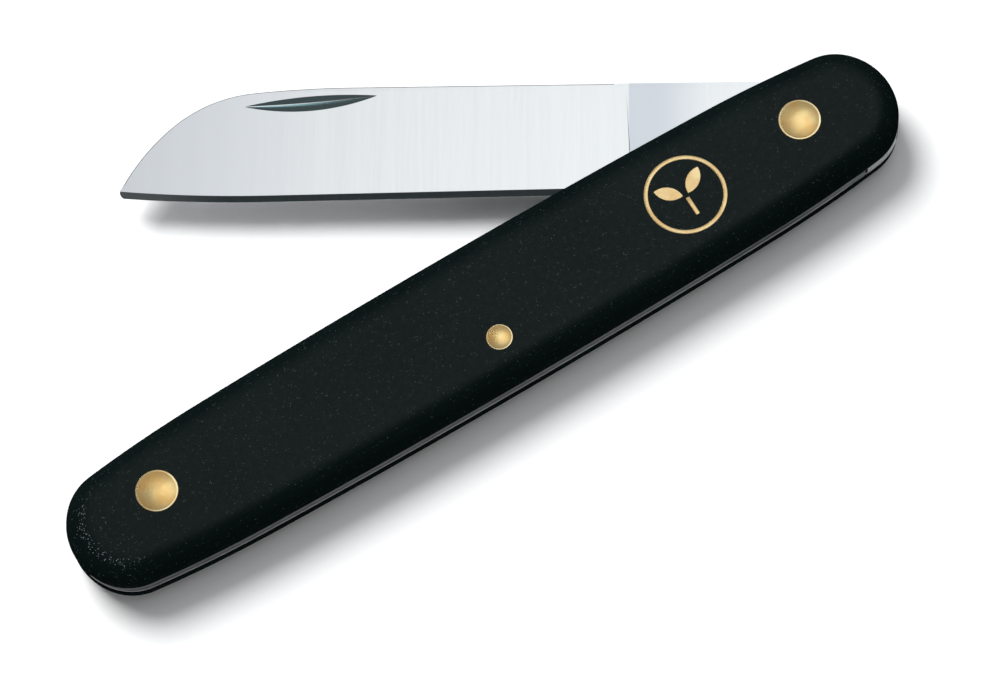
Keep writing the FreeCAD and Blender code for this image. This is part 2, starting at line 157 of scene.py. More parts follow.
def arc_points(centre, radius, start, end, step=OUTLINE_STEP):
    """Points along an arc from angle start to angle end (degrees), without the last one."""
    count = max(4, math.ceil(abs(math.radians(end - start)) * abs(radius) / step))
    turn = (end - start) / count
    return [centre + direction(start + turn * i) * radius for i in range(count)]


def line_points(start, end, step=OUTLINE_STEP):
    count = max(1, math.ceil((end - start).length / step))
    return [start.lerp(end, i / count) for i in range(count)]


def angle_of(vector):
    return math.degrees(math.atan2(vector.y, vector.x))


def arc_through(a, b, c, step=OUTLINE_STEP):
    """Points from a through b to c, without c."""
    to_b, to_c = b - a, c - a
    twice = 2 * (to_b.x * to_c.y - to_b.y * to_c.x)
    lb, lc = to_b.length_squared, to_c.length_squared
    centre = a + Vector((to_c.y * lb - to_b.y * lc, to_b.x * lc - to_c.x * lb)) / twice
    start = angle_of(a - centre)
    middle = (angle_of(b - centre) - start) % 360
    end = (angle_of(c - centre) - start) % 360
    if middle > end:
        end -= 360
    return arc_points(centre, (a - centre).length, start, start + end, step)


def tangent_arc(start, heading, end):
    """Arc leaving start along a heading and ending at end."""
    chord = end - start
    normal = Vector((-heading.y, heading.x))
    radius = chord.length_squared / (2 * chord.dot(normal))
    centre = start + normal * radius
    middle = centre + ((start + end) / 2 - centre).normalized() * abs(radius)
    return arc_through(start, middle, end)


def rounded_corners(corners, closed=True):
    """Points of a polygon whose (x, y, radius) corners are rounded."""
    places = [Vector((x, y)) for x, y, radius in corners]
    outline = []
    for i, (x, y, radius) in enumerate(corners):
        here = places[i]
        if radius == 0 or (not closed and i in (0, len(corners) - 1)):
            outline.append(here)
            continue
        to_last = (places[i - 1] - here).normalized()
        to_next = (places[(i + 1) % len(places)] - here).normalized()
        half = to_last.angle(to_next) / 2
        start = here + to_last * (radius / math.tan(half))
        end = here + to_next * (radius / math.tan(half))
        inward = (to_last + to_next).normalized()
        middle = here + inward * (radius / math.sin(half) - radius)
        outline += arc_through(start, middle, end, min(OUTLINE_STEP, radius / 5))
        outline.append(end)
    return outline


def filled_in(outline, step=OUTLINE_STEP):
    """The same closed outline with points added along its long straight stretches."""
    dense = []
    for i, point in enumerate(outline):
        dense += line_points(point, outline[(i + 1) % len(outline)], step)
    return dense


def area(outline):
    return sum(p.x * q.y - q.x * p.y for p, q in zip(outline, outline[1:] + outline[:1])) / 2


def outward_normals(outline):
    """Mitred outward direction at each point of a closed outline."""
    side = 1 if area(outline) > 0 else -1
    normals = []
    for i, point in enumerate(outline):
        back = (point - outline[i - 1]).normalized()
        ahead = (outline[(i + 1) % len(outline)] - point).normalized()
        along = (back + ahead).normalized()
        mitre = max(0.5, along.dot(back))
        normals.append(Vector((along.y, -along.x)) * side / mitre)
    return normals


# ---------------------------------------------------------------- mesh helpers
def make_object(name, points, faces, place=Matrix.Identity(4)):
    """Mesh object from millimetre points, in metres, with outward faces."""
    mesh = bpy.data.meshes.new(name)
    mesh.from_pydata([place @ Vector(p) * MM for p in points], [], faces)
    work = bmesh.new()
    work.from_mesh(mesh)
    bmesh.ops.recalc_face_normals(work, faces=work.faces)
    work.to_mesh(mesh)
    work.free()
    thing = bpy.data.objects.new(name, mesh)
    bpy.context.scene.collection.objects.link(thing)
    return thing


def contour_solid(name, outline, profile, place=Matrix.Identity(4)):
    """Closed solid with one ring of the outline for each (inset, z) of its profile."""
    normals = outward_normals(outline)
    count = len(outline)
    points, faces = [], []
    for inset, z in profile:
        points += [(p.x - n.x * inset, p.y - n.y * inset, z) for p, n in zip(outline, normals)]
    for ring in range(len(profile) - 1):
        low, high = ring * count, (ring + 1) * count
        for i in range(count):
            j = (i + 1) % count
            faces.append((low + i, low + j, high + j, high + i))
    faces.append(tuple(range(count)))
    faces.append(tuple(range(len(points) - count, len(points))))
    return make_object(name, points, faces, place)


def lathe(name, profile, centre, segments=96):
    """Solid turned about a vertical axis; each (radius, z) is one ring, radius 0 a pole.

    A profile that starts and ends off the axis closes on itself as a ring."""
    points, rings, faces = [], [], []
    for radius, z in profile:
        if radius == 0:
            rings.append([len(points)])
            points.append((centre.x, centre.y, z))
            continue
        rings.append(list(range(len(points), len(points) + segments)))
        for k in range(segments):
            spoke = direction(360 * k / segments) * radius
            points.append((centre.x + spoke.x, centre.y + spoke.y, z))
    pairs = list(zip(rings, rings[1:]))
    if len(rings[0]) > 1:
        pairs.append((rings[-1], rings[0]))
    for low, high in pairs:
        for k in range(segments):
            n = (k + 1) % segments
            if len(low) == 1:
                faces.append((low[0], high[n], high[k]))
            elif len(high) == 1:
                faces.append((low[k], low[n], high[0]))
            else:
                faces.append((low[k], low[n], high[n], high[k]))
    return make_object(name, points, faces)


def rounded_profile(low, high, radius, steps=4):
    """Profile of a plate between two heights with both edges rounded."""
    bottom = []
    for i in range(steps + 1):
        angle = math.radians(90 * i / steps)
        bottom.append((radius * (1 - math.sin(angle)), low + radius * (1 - math.cos(angle))))
    top = [(inset, high - (z - low)) for inset, z in reversed(bottom)]
    return bottom + top


def cut(target, cutters):
    """Takes the cutters' volume out of the target one by one and deletes them."""
    for cutter in cutters:
        step = target.modifiers.new("cut", "BOOLEAN")
        step.operation = "DIFFERENCE"
        step.solver = "EXACT"
        step.object = cutter
        bpy.context.view_layer.update()
        graph = bpy.context.evaluated_depsgraph_get()
        result = bpy.data.meshes.new_from_object(target.evaluated_get(graph))
        target.modifiers.clear()
        work = bmesh.new()
        work.from_mesh(result)
        bmesh.ops.remove_doubles(work, verts=work.verts, dist=WELD * MM)
        bmesh.ops.dissolve_degenerate(work, edges=work.edges, dist=WELD * MM)
        work.to_mesh(result)
        work.free()
        if not result.polygons:
            raise RuntimeError("nothing left of " + target.name + " after " + cutter.name)
        target.data = result
        bpy.data.objects.remove(cutter)


def shade(thing, sharp=30.0):
    """Smooth shading with crisp edges above an angle and flat faces kept flat."""
    mesh = thing.data
    mesh.polygons.foreach_set("use_smooth", [True] * len(mesh.polygons))
    mesh.set_sharp_from_angle(angle=math.radians(sharp))
    weighted = thing.modifiers.new("weighted normals", "WEIGHTED_NORMAL")
    weighted.keep_sharp = True


def place_piece(thing, node, body, material, sharp=30.0):
    """Shading, material, body and the CAD node that the piece stands for."""
    shade(thing, sharp)
    if material is not None:
        thing.data.materials.clear()
        thing.data.materials.append(material)
    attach(thing, body)
    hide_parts(node)
    return thing


# ---------------------------------------------------------------- camera and stage
VIEW_TURN = 30.65           # how far the handle is turned in the picture, degrees
VIEW_TILT = 19.0            # camera off the vertical, degrees
VIEW_LEAN = 10.0            # which way it is off the vertical, from straight down the picture
VIEW_DISTANCE = 443.97
AIM = Vector((-0.155, -2.81, (SPRING_LOW.z + SPRING_HIGH.z) / 2))
FOCAL_LENGTH = 151.2
SENSOR_WIDTH = 36.0
FLOOR_HALF = 3.0            # metres
FLOOR_Z = -0.00002          # metres, just under the knife
SOFTBOX_EDGE, SOFTBOX_CORE = 28, 9      # where the bright area starts and is full, degrees
SURROUND_DIM, SURROUND_BRIGHT = 0.07, 1.28


def picture_axes():
    """Right and up of the picture, as directions on the floor."""
    right = Vector((math.cos(math.radians(-VIEW_TURN)), math.sin(math.radians(-VIEW_TURN)), 0))
    return right, Vector((-right.y, right.x, 0))


def make_camera():
    right, up = picture_axes()
    lean = math.radians(VIEW_LEAN)
    tilt = math.radians(VIEW_TILT)
    aside = right * math.sin(lean) - up * math.cos(lean)
    back = aside * math.sin(tilt) + Vector((0, 0, 1)) * math.cos(tilt)
    side = up.cross(back).normalized()
    head = back.cross(side)
    data = bpy.data.cameras.new("camera")
    data.lens = FOCAL_LENGTH
    data.sensor_width = SENSOR_WIDTH
    data.clip_start = 0.01
    data.clip_end = 20
    camera = bpy.data.objects.new("camera", data)
    turn = Matrix((side, head, back)).transposed().to_4x4()
    camera.matrix_world = Matrix.Translation((AIM + back * VIEW_DISTANCE) * MM) @ turn
    bpy.context.scene.collection.objects.link(camera)
    bpy.context.scene.camera = camera


def make_floor():
    half = FLOOR_HALF
    mesh = bpy.data.meshes.new("floor")
    corners = [(-half, -half), (half, -half), (half, half), (-half, half)]
    mesh.from_pydata([(x, y, FLOOR_Z) for x, y in corners], [], [(0, 1, 2, 3)])
    floor = bpy.data.objects.new("floor", mesh)
    bpy.context.scene.collection.objects.link(floor)
    material = new_material("floor_paper", (0.9, 0.9, 0.9), 0.8)
    surface(material).inputs["Specular IOR Level"].default_value = 0.0
    mesh.materials.append(material)


def make_lamp(name, toward, distance, size, energy):
    """Round area light at a distance (metres) in one direction, aimed at the knife."""
    data = bpy.data.lights.new(name, "AREA")
    data.shape = "DISK"
    data.size = size
    data.energy = energy
    lamp = bpy.data.objects.new(name, data)
    lamp.location = toward.normalized() * distance
    lamp.rotation_mode = "QUATERNION"
    lamp.rotation_quaternion = toward.to_track_quat("Z", "Y")
    lamp.visible_glossy = False
    bpy.context.scene.collection.objects.link(lamp)


def make_lights():
    """A large key light from the upper left, two soft fills and a dim surround."""
    right, up = picture_axes()
    overhead = Vector((0, 0, 1))
    make_lamp("key", right * -0.50 + up * 0.58 + overhead, 0.8, 0.52, 8.8)
    make_lamp("near fill", right * 0.45 - up * 1.0 + overhead * 0.7, 1.0, 0.7, 2.1)
    make_lamp("overhead", overhead + up * 0.15, 1.0, 1.2, 0.97)
    make_world(right * 0.16 + up * 0.25 + overhead)


def make_world(bright_way):
    """A dim surround with a soft bright area overhead, like a softbox seen from below."""
    world = bpy.data.worlds.new("studio")
    world.use_nodes = True
    bpy.context.scene.world = world
    nodes, links = world.node_tree.nodes, world.node_tree.links
    nodes.clear()
    where = nodes.new("ShaderNodeTexCoord")
    toward = nodes.new("ShaderNodeVectorMath")
    toward.operation = "DOT_PRODUCT"
    toward.inputs[1].default_value = bright_way.normalized()
    ramp = nodes.new("ShaderNodeMapRange")
    ramp.interpolation_type = "SMOOTHERSTEP"
    ramp.inputs["From Min"].default_value = math.cos(math.radians(SOFTBOX_EDGE))
    ramp.inputs["From Max"].default_value = math.cos(math.radians(SOFTBOX_CORE))
    ramp.inputs["To Min"].default_value = SURROUND_DIM
    ramp.inputs["To Max"].default_value = SURROUND_BRIGHT
    seen = nodes.new("ShaderNodeBackground")
    seen.inputs["Color"].default_value = (0.96, 1.0, 1.03, 1)
    plain = nodes.new("ShaderNodeBackground")
    plain.inputs["Color"].default_value = (1, 1, 1, 1)
    path = nodes.new("ShaderNodeLightPath")
    mix = nodes.new("ShaderNodeMixShader")
    out = nodes.new("ShaderNodeOutputWorld")
    links.new(where.outputs["Generated"], toward.inputs[0])
    links.new(toward.outputs["Value"], ramp.inputs["Value"])
    links.new(ramp.outputs["Result"], seen.inputs["Strength"])
    links.new(path.outputs["Is Camera Ray"], mix.inputs["Fac"])
    links.new(seen.outputs["Background"], mix.inputs[1])
    links.new(plain.outputs["Background"], mix.inputs[2])
    links.new(mix.outputs["Shader"], out.inputs["Surface"])


# ---------------------------------------------------------------- material helpers
def new_material(name, colour, roughness, metallic=0.0):
    material = bpy.data.materials.new(name)
    material.use_nodes = True
    shader = surface(material)
    shader.inputs["Base Color"].default_value = (*colour, 1)
    shader.inputs["Roughness"].default_value = roughness
    shader.inputs["Metallic"].default_value = metallic
    return material


def surface(material):
    return material.node_tree.nodes["Principled BSDF"]


class Graph:
    """Short calls for adding nodes to one material."""

    def __init__(self, material):
        self.nodes = material.node_tree.nodes
        self.links = material.node_tree.links
        self.shader = surface(material)

    def add(self, kind, **values):
        node = self.nodes.new("ShaderNode" + kind)
        for key, value in values.items():
            setattr(node, key, value)
        return node

    def link(self, source, target):
        self.links.new(source, target)

    def place(self, scale=(1, 1, 1), turn=0.0):
        """Object coordinates in millimetres, turned about Z and scaled."""
        where = self.add("TexCoord")
        mapping = self.add("Mapping", vector_type="TEXTURE")
        mapping.inputs["Rotation"].default_value = (0, 0, math.radians(turn))
        mapping.inputs["Scale"].default_value = tuple(MM / s for s in scale)
        self.link(where.outputs["Object"], mapping.inputs["Vector"])
        return mapping.outputs["Vector"]

    def noise(self, vector, scale, detail=3.0, roughness=0.55):
        node = self.add("TexNoise")
        node.inputs["Scale"].default_value = scale
        node.inputs["Detail"].default_value = detail
        node.inputs["Roughness"].default_value = roughness
        self.link(vector, node.inputs["Vector"])
        return node.outputs["Fac"]

    def ranged(self, value, from_low, from_high, to_low, to_high, smooth=False):
        node = self.add("MapRange")
        if smooth:
            node.interpolation_type = "SMOOTHSTEP"
        numbers = (from_low, from_high, to_low, to_high)
        for key, number in zip(("From Min", "From Max", "To Min", "To Max"), numbers):
            node.inputs[key].default_value = number
        self.link(value, node.inputs["Value"])
        return node.outputs["Result"]

    def calculate(self, operation, a, b):
        node = self.add("Math", operation=operation)
        for socket, value in zip(node.inputs, (a, b)):
            if isinstance(value, (int, float)):
                socket.default_value = value
            else:
                self.link(value, socket)
        return node.outputs["Value"]

    def blend(self, amount, low, high):
        """Colour between low and high."""
        node = self.add("Mix", data_type="RGBA")
        for socket, value in ((node.inputs[6], low), (node.inputs[7], high)):
            if isinstance(value, tuple):
                socket.default_value = (*value, 1)
            else:
                self.link(value, socket)
        self.link(amount, node.inputs[0])
        return node.outputs[2]

    def bump(self, height, distance, strength=1.0, under=None):
        node = self.add("Bump")
        node.inputs["Distance"].default_value = distance * MM
        node.inputs["Strength"].default_value = strength
        self.link(height, node.inputs["Height"])
        if under is not None:
            self.link(under, node.inputs["Normal"])
        return node.outputs["Normal"]


# ---------------------------------------------------------------- materials
TAIL_GLINT_X = (-46.0, -42.5)        # painted glints: flecks are densest before the first and fade to the second
NEAR_SIDE_Y = (1.0, 5.0)            # and likewise from the near side to the far side
TANG_SHADE_U = (8.0, 16.0)          # along the blade, where its painted reflection tones change
PALE_POINT_U = (61.0, 71.0)
GREY_POINT_U = (46.0, 68.0)


def scale_plastic():
    """Black glass-filled nylon: fine moulded grain, matte shoulders and pale flecks.

    The flecks are sparse and faint all over; on the near shoulder at the tail end they are dense
    and pale as painted glints, a highlight painted into the colour."""
    material = new_material("scale_plastic", (0.005, 0.007, 0.007), 0.46)
    g = Graph(material)
    place = g.place()
    fine = g.noise(place, 6.5, 2.0, 0.6)
    coarse = g.noise(place, 1.6, 3.0, 0.5)
    cloud = g.noise(place, 0.10, 2.0, 0.5)
    geometry = g.add("NewGeometry")
    facing = g.add("SeparateXYZ")
    g.link(geometry.outputs["True Normal"], facing.inputs["Vector"])
    slope = g.calculate("ABSOLUTE", facing.outputs["Z"], 0)
    shine = g.ranged(slope, 0.90, 0.998, 0.0, 0.18, smooth=True)
    g.link(shine, g.shader.inputs["Specular IOR Level"])
    fleck = g.add("TexVoronoi", feature="F1")
    fleck.inputs["Scale"].default_value = 5.6
    g.link(place, fleck.inputs["Vector"])
    dot = g.ranged(fleck.outputs["Distance"], 0.14, 0.36, 1.0, 0.0, smooth=True)
    split = g.add("SeparateXYZ")
    g.link(place, split.inputs["Vector"])
    tail = g.ranged(split.outputs["X"], *TAIL_GLINT_X, 1.0, 0.0, smooth=True)
    near_side = g.ranged(split.outputs["Y"], *NEAR_SIDE_Y, 1.0, 0.15, smooth=True)
    shoulder = g.calculate("MULTIPLY", g.ranged(slope, 0.975, 0.9985, 1.0, 0.0, smooth=True),
                           g.ranged(slope, 0.86, 0.95, 0.0, 1.0, smooth=True))
    # painted glint: dense pale flecks on the near tail-end shoulder stand in for a highlight
    painted_glint = g.calculate("MULTIPLY", tail, g.calculate("MAXIMUM", shoulder, 0.15))
    painted_glint = g.calculate("MULTIPLY", painted_glint, near_side)
    chosen = g.calculate("SUBTRACT", g.noise(place, 2.9, 1.0), g.ranged(painted_glint, 0.0, 1.0, 0.58, 0.40))
    chosen = g.calculate("MULTIPLY", chosen, 9.0)
    chosen.node.use_clamp = True
    spots = g.calculate("MULTIPLY", dot, chosen)
    amount = g.calculate("MULTIPLY", spots, g.ranged(painted_glint, 0.0, 1.0, 0.20, 0.85))
    base = g.blend(cloud, (0.0018, 0.0040, 0.0038), (0.0038, 0.0070, 0.0067))
    g.link(g.blend(amount, base, (0.22, 0.26, 0.27)), g.shader.inputs["Base Color"])
    g.link(g.ranged(coarse, 0.3, 0.7, 0.42, 0.52), g.shader.inputs["Roughness"])
    first = g.bump(fine, 0.014, 0.8)
    g.link(g.bump(coarse, 0.014, 0.5, under=first), g.shader.inputs["Normal"])
    return material


def ground_steel(name, colour, turn, along, across, roughness, depth, spread=1.0):
    """Steel with fine grinding lines: long in one direction, close together in the other."""
    material = new_material(name, colour, roughness, 1.0)
    g = Graph(material)
    lines = g.noise(g.place((along, across, across), turn), 1.0, 4.0, 0.65)
    broad = g.noise(g.place((along * 0.2, across * 0.12, 0.2), turn), 1.0, 2.0, 0.5)
    low = tuple(c * (1 - 0.07 * spread) for c in colour)
    high = tuple(min(1.0, c * (1 + 0.04 * spread)) for c in colour)
    g.link(g.blend(g.ranged(lines, 0.35, 0.65, 0.0, 1.0), low, high), g.shader.inputs["Base Color"])
    change = 0.15 * spread
    rough = g.ranged(broad, 0.3, 0.7, roughness * (1 - change), roughness * (1 + change))
    g.link(rough, g.shader.inputs["Roughness"])
    g.link(g.bump(lines, depth, 0.6), g.shader.inputs["Normal"])
    return material


def along_blade(g):
    """Millimetres from the pivot towards the point, for the blade at rest."""
    way = direction(BLADE_REST_ANGLE).to_3d()
    dot = g.add("VectorMath", operation="DOT_PRODUCT")
    g.link(g.place(), dot.inputs[0])
    dot.inputs[1].default_value = way
    return g.calculate("SUBTRACT", dot.outputs["Value"], PIVOT.dot(way))


def tint(material, amount, colour):
    """Blends a material's finished colour towards another one."""
    g = Graph(material)
    socket = g.shader.inputs["Base Color"]
    before = socket.links[0].from_socket
    g.link(g.blend(amount(g), before, colour), socket)


def painted_dim_tang(g):
    """Painted reflection falloff, darker on the tang: strongest beside the plunge, gone a little
    before the pivot.
    """
    u = along_blade(g)
    inside = g.ranged(u, PLUNGE_U - 0.4, PLUNGE_U - 0.2, 1.0, 0.0)
    return g.calculate("MULTIPLY", inside, g.ranged(u, *TANG_SHADE_U, 0.0, 1.0, smooth=True))


# painted highlight: the bevel is tinted pale over its last stretch to the point
def painted_pale_point(g):
    return g.ranged(along_blade(g), *PALE_POINT_U, 0.0, 1.0, smooth=True)


# painted reflection falloff: the blade greys towards the point
def painted_grey_point(g):
    return g.ranged(along_blade(g), *GREY_POINT_U, 0.0, 1.0, smooth=True)


def brass(name, colour, dark, roughness, metallic):
    """Brass with a faintly tarnished, uneven surface."""
    material = new_material(name, colour, roughness, metallic)
    g = Graph(material)
    patch = g.noise(g.place(), 0.55, 2.0, 0.5)
    tone = g.blend(g.ranged(patch, 0.35, 0.62, 0.0, 1.0), dark, colour)
    g.link(tone, g.shader.inputs["Base Color"])
    rough = g.ranged(patch, 0.3, 0.7, roughness * 1.15, roughness * 0.9)
    g.link(rough, g.shader.inputs["Roughness"])
    return material


# ---------------------------------------------------------------- handle outline
def quarter_arcs():
    """(radius, start heading, end heading) of the four tangent arcs of one quarter."""
    a1, a2, a3 = (math.radians(turn) for turn in (SIDE_TURN, TAPER_TURN, CORNER_TURN))
    x = SIDE_RADIUS * math.sin(a1) + TAPER_RADIUS * (math.sin(a2) - math.sin(a1))
    y = HANDLE_WIDTH / 2 - SIDE_RADIUS * (1 - math.cos(a1))
    y -= TAPER_RADIUS * (math.cos(a1) - math.cos(a2))
    left_x = HANDLE_LENGTH / 2 - x
    corner_x, corner_y = math.sin(a3) - math.sin(a2), math.cos(a2) - math.cos(a3)
    nose_x, nose_y = 1 - math.sin(a3), math.cos(a3)
    scale = corner_x * nose_y - nose_x * corner_y
    corner_radius = (left_x * nose_y - nose_x * y) / scale
    nose_radius = (corner_x * y - left_x * corner_y) / scale
    return [
        (SIDE_RADIUS, 0, SIDE_TURN),
        (TAPER_RADIUS, SIDE_TURN, TAPER_TURN),
        (corner_radius, TAPER_TURN, CORNER_TURN),
        (nose_radius, CORNER_TURN, 90),
    ]


def handle_outline(inset=0.0, shift=0.0):
    """Points round the handle, clockwise from the middle of the +Y side."""
    outline = []
    start = Vector((shift, HANDLE_WIDTH / 2))
    quarter = [(radius, 90 - a, 90 - b) for radius, a, b in quarter_arcs()]
    half = quarter + [(radius, -b, -a) for radius, a, b in reversed(quarter)]
    for radius, a, b in half + [(radius, a - 180, b - 180) for radius, a, b in half]:
        centre = start - direction(a) * radius
        outline += arc_points(centre, radius - inset, a, b)
        start = centre + direction(b) * radius
    return outline


# ---------------------------------------------------------------- rivets, washers, emblem
def rivet_sizes(name):
    """Centre, head radius, washer radius, shank radius and the heights of one rivet."""
    centre = node_centre(name + "_rivet")
    low, high = node_box(name + "_rivet")
    washer_low, washer_high = node_box("front_" + name + "_washer")
    rear_low, rear_high = node_box("rear_" + name + "_washer")
    head = (high.x - low.x) / 2
    return {
        "centre": centre,
        "head": head,
        "washer": (washer_high.x - washer_low.x) / 2,
        "shank": SHANK_RADIUS[name],
        "front": (washer_low.z, washer_high.z, high.z),
        "rear": (rear_high.z, rear_low.z, low.z),
    }


def dome_points(head, foot, crown, steps=14):
    """Profile of a domed head from its rim to its pole."""
    rim = (crown - foot) * 0.3
    rise = crown - foot - rim
    ball = (head ** 2 + rise ** 2) / (2 * rise)
    reach = math.asin(min(1.0, head / ball))
    points = [(head - 0.03, foot), (head, foot + rim * 0.3), (head, foot + rim * 0.8)]
    for i in range(steps + 1):
        angle = reach * (1 - i / steps)
        points.append((ball * math.sin(angle), crown - ball * (1 - math.cos(angle))))
    points[-1] = (0, crown)
    return points


def make_rivet(name, material):
    sizes = rivet_sizes(name)
    front = dome_points(sizes["head"], sizes["front"][1], sizes["front"][2])
    rear = dome_points(sizes["head"], sizes["rear"][1], sizes["rear"][2])
    shank = [(sizes["shank"], sizes["rear"][1]), (sizes["shank"], sizes["front"][1])]
    piece = lathe("rivet_" + name, rear[::-1] + shank + front, sizes["centre"])
    for vertex in piece.data.vertices:                # heads peened by hand are never quite even
        if vertex.co.z > sizes["front"][1] * MM:
            lump = noise.noise(vertex.co / MM * 0.8)
            vertex.co.z -= (0.5 + 0.5 * lump) * 0.03 * MM
    return place_piece(piece, name + "_rivet", "handle", material, 40)


def make_washer(name, side, material):
    sizes = rivet_sizes(name)
    inner_z, outer_z = sizes[side][:2]
    outward = 1 if outer_z > inner_z else -1
    edge = 0.07
    profile = [(sizes["shank"] + SEAT_GAP, inner_z), (sizes["washer"], inner_z)]
    for i in range(5):
        angle = math.radians(90 * i / 4)
        drop = edge * (1 - math.sin(angle)) * outward
        profile.append((sizes["washer"] - edge * (1 - math.cos(angle)), outer_z - drop))
    profile.append((sizes["shank"] + SEAT_GAP, outer_z))
    piece = lathe("washer_" + side + "_" + name, profile, sizes["centre"])
    node = side + "_" + name + "_washer"
    return place_piece(piece, node, "handle", material, 50)


def seat_cutter(name, side):
    """Stepped hole in a scale for one rivet and its washer."""
    sizes = rivet_sizes(name)
    inner_z, outer_z = sizes[side][:2]
    outward = 1 if outer_z > inner_z else -1
    shank, washer = sizes["shank"] + SEAT_GAP, sizes["washer"] + SEAT_GAP
    profile = [
        (0, inner_z - 6 * outward),
        (shank, inner_z - 6 * outward),
        (shank, inner_z),
        (washer, inner_z),
        (washer, outer_z + 3 * outward),
        (0, outer_z + 3 * outward),
    ]
    return lathe("seat_" + side + name, profile, sizes["centre"])


def leaf_outline(base, length, width, lean):
    along, across = direction(lean), direction(lean + 90)
    tip = base + along * length
    middle = base + along * (length * 0.52)
    upper = arc_through(base, middle + across * (width / 2), tip, 0.12)
    return upper + arc_through(tip, middle - across * (width / 2), base, 0.12)


def emblem_outlines(centre):
    """Stem and two leaves of the seedling in the ring."""
    half = EMBLEM_LINE / 2
    fork = centre + Vector((0, 0.1))
    stem = rounded_corners([
        (fork.x - half, fork.y - 2.7, 0.15),
        (fork.x + half, fork.y - 2.7, 0.15),
        (fork.x + half, fork.y - 0.45, 0.12),
        (fork.x - half, fork.y - 0.45, 0.12),
    ])
    right = leaf_outline(fork + Vector((0.3, -0.12)), LEAF_LENGTH, LEAF_WIDTH, 40)
    left = leaf_outline(fork + Vector((-0.3, -0.12)), LEAF_LENGTH, LEAF_WIDTH, 140)
    return [stem, right, left]


def ring_profile(low, high, edge):
    outer, inner = EMBLEM_RADIUS, EMBLEM_RADIUS - EMBLEM_LINE
    return [
        (inner, low),
        (outer, low),
        (outer, high - edge),
        (outer - edge * 0.3, high - edge * 0.3),
        (outer - edge, high),
        (inner + edge, high),
        (inner + edge * 0.3, high - edge * 0.3),
        (inner, high - edge),
    ]


def make_emblem(material):
    centre = node_centre("emblem")
    low, high = EMBLEM_LOW.z, EMBLEM_HIGH.z
    parts = [lathe("emblem_ring", ring_profile(low, high, 0.06), centre, EMBLEM_SEGMENTS)]
    for outline in emblem_outlines(centre.to_2d()):
        profile = [(0, low), (0, high - 0.05), (0.02, high - 0.015), (0.06, high)]
        parts.append(contour_solid("emblem_part", outline, profile))
    for part in parts:
        shade(part, 50)
        part.data.materials.append(material)
    emblem = parts[0]
    for i, part in enumerate(parts[1:]):
        part.name = "emblem_leaf_" + str(i)
        part.parent = emblem
    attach(emblem, "handle")
    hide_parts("emblem")


def emblem_cutters():
    centre = node_centre("emblem")
    low, high = EMBLEM_LOW.z, EMBLEM_HIGH.z + 1
    ring = [
        (EMBLEM_RADIUS - EMBLEM_LINE, low),
        (EMBLEM_RADIUS, low),
        (EMBLEM_RADIUS, high),
        (EMBLEM_RADIUS - EMBLEM_LINE, high),
    ]
    cutters = [lathe("pocket_ring", ring, centre, EMBLEM_SEGMENTS)]
    for outline in emblem_outlines(centre.to_2d()):
        cutters.append(contour_solid("pocket", outline, [(0, low), (0, high)]))
    return cutters


# ---------------------------------------------------------------- scales, liners, spring
def scale_profile(inner_z, outer_z):
    """From the flat inner side, up the wall and over the elliptical shoulder."""
    side = 1 if outer_z > inner_z else -1
    rise = abs(outer_z - inner_z) - SCALE_WALL
    profile = [(0.08, inner_z), (0.02, inner_z + side * 0.025), (0, inner_z + side * 0.08)]
    for i in range(SHOULDER_STEPS + 1):
        angle = math.radians(90 * i / SHOULDER_STEPS)
        height = SCALE_WALL + rise * math.sin(angle)
        profile.append((SHOULDER_WIDTH * (1 - math.cos(angle)), inner_z + side * height))
    profile.append((SHOULDER_WIDTH + 0.3, outer_z))
    return profile


def make_scale(side, material):
    if side == "front":
        profile = scale_profile(SCALE_LOW.z, SCALE_HIGH.z)
    else:
        profile = scale_profile(REAR_HIGH.z, REAR_LOW.z)
    piece = contour_solid("scale_" + side, handle_outline(), profile)
    cutters = [seat_cutter(name, side) for name in RIVET_NAMES]
    if side == "front":
        cutters += emblem_cutters()
    cut(piece, cutters)
    return place_piece(piece, side + "_scale", "handle", material)


def shank_cutters(names, low, high):
    cutters = []
    for name in names:
        sizes = rivet_sizes(name)
        radius = sizes["shank"] + SEAT_GAP
        profile = [(0, low), (radius, low), (radius, high), (0, high)]
        cutters.append(lathe("shank_hole", profile, sizes["centre"], 48))
    return cutters


def tab_points():
    """Outline of the rear liner's upturned tab, in the handle's corner past the spring."""
    shell = handle_outline(0, METAL_SHIFT)
    corner = Vector((FREE_END_X + TAB_GAP, PIVOT.y - SPINE_V - TAB_CLEARANCE))
    round_side = [p for p in shell if p.x > corner.x and p.y < corner.y]
    round_side.sort(key=lambda p: p.x)
    below = [p for p in shell if p.x <= corner.x and p.y < 0]
    before = max(below, key=lambda p: p.x)
    after = min((p for p in shell if p.x > 0 and p.y >= corner.y), key=lambda p: p.y)
    first, last = round_side[0], round_side[-1]
    foot = before.lerp(first, (corner.x - before.x) / (first.x - before.x))
    end = last.lerp(after, (corner.y - last.y) / (after.y - last.y))
    return [corner, foot] + round_side + [end]


def make_liner(side, low, high, material):
    outline = handle_outline(LINER_INSET, METAL_SHIFT)
    piece = contour_solid("liner_" + side, outline, rounded_profile(low, high, LINER_EDGE))
    cut(piece, shank_cutters(RIVET_NAMES, low - 1, high + 1))
    return place_piece(piece, side + "_liner", "handle", material)


def make_tab(liner, material):
    """The tab belongs to the rear liner and stands as high as the spring beside it."""
    low, high = SPRING_LOW.z, SPRING_HIGH.z
    tab = contour_solid("liner_rear_tab", tab_points(), rounded_profile(low, high, LINER_EDGE))
    shade(tab)
    tab.data.materials.append(material)
    tab.parent = liner


